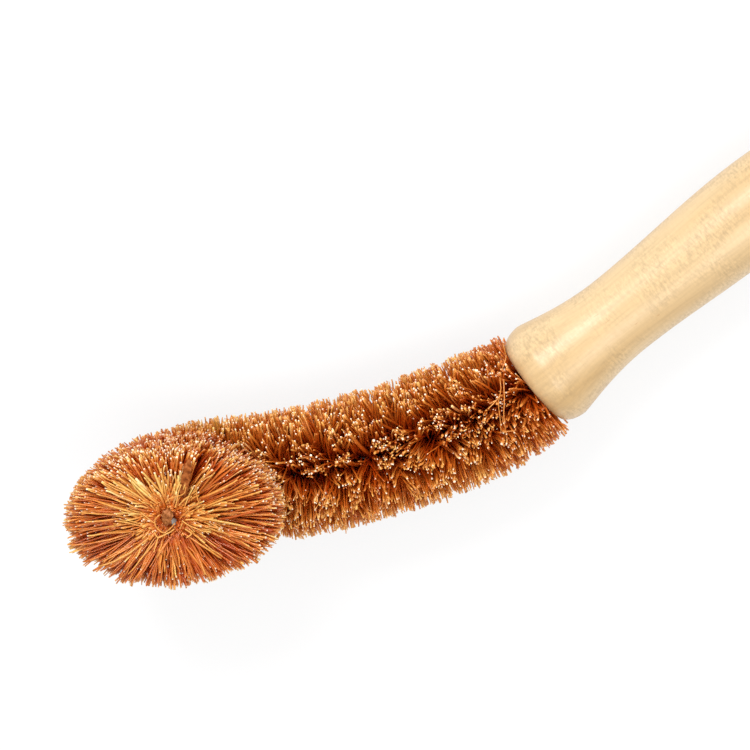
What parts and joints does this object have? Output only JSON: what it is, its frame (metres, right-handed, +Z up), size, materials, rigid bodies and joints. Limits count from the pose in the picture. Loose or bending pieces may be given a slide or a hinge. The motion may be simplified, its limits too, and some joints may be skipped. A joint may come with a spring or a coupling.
{
  "type": "cup brush",
  "caption": "Curved cup and bottle brush: palm fibre clamped in a twisted wire, bent up into a thick oval head, on a turned wooden handle.",
  "frame": {"origin": "under the middle of the brush's bounding box, on the table that it lies on", "axes": "+X from the head to the handle's rear end, +Z up, out of the head's front face"},
  "size_m": [0.2508, 0.0648, 0.0605],
  "materials": {
    "turned_wood": "pale turned hardwood, satin lacquer",
    "palm_fibre": "stiff natural palm fibre, orange to red brown with pale cut ends",
    "steel_wire": "drawn galvanised wire",
    "set_adhesive": "set wood adhesive"
  },
  "bodies": {
    "root": {"handle": "turned_wood", "core_wire": "steel_wire", "adhesive": "set_adhesive", "bristles_stem_1": "palm_fibre", "bristles_stem_2": "palm_fibre", "bristles_stem_3": "palm_fibre", "bristles_stem_4": "palm_fibre", "bristles_stem_5": "palm_fibre", "bristles_stem_6": "palm_fibre", "bristles_stem_7": "palm_fibre", "bristles_stem_8": "palm_fibre", "bristles_stem_9": "palm_fibre", "bristles_bend_1": "palm_fibre", "bristles_bend_2": "palm_fibre", "bristles_head_1": "palm_fibre", "bristles_head_2": "palm_fibre"}
  },
  "joints": []
}
